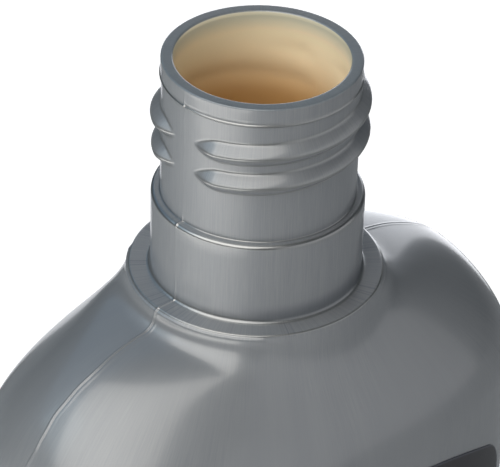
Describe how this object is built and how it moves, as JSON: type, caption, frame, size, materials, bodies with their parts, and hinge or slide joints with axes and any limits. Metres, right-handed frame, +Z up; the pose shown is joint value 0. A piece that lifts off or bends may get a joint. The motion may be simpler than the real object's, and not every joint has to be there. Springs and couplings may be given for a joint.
{
  "type": "plastic bottle",
  "caption": "Oval blow-moulded bottle with a screw-thread neck, round flange, domed shoulder, hollow base and a plain film label front and back.",
  "frame": {"origin": "middle of the base, on the surface that the bottle stands on", "axes": "+Z up along the neck's axis, +X across the two parting lines, -Y out of the front face"},
  "size_m": [0.079, 0.0482, 0.18],
  "materials": {
    "bottle": "satin pearl silver-grey with fine flow lines, cream inside",
    "label": "plain charcoal film"
  },
  "bodies": {
    "root": {"bottle": "bottle", "front_label": "label", "back_label": "label"}
  },
  "joints": []
}
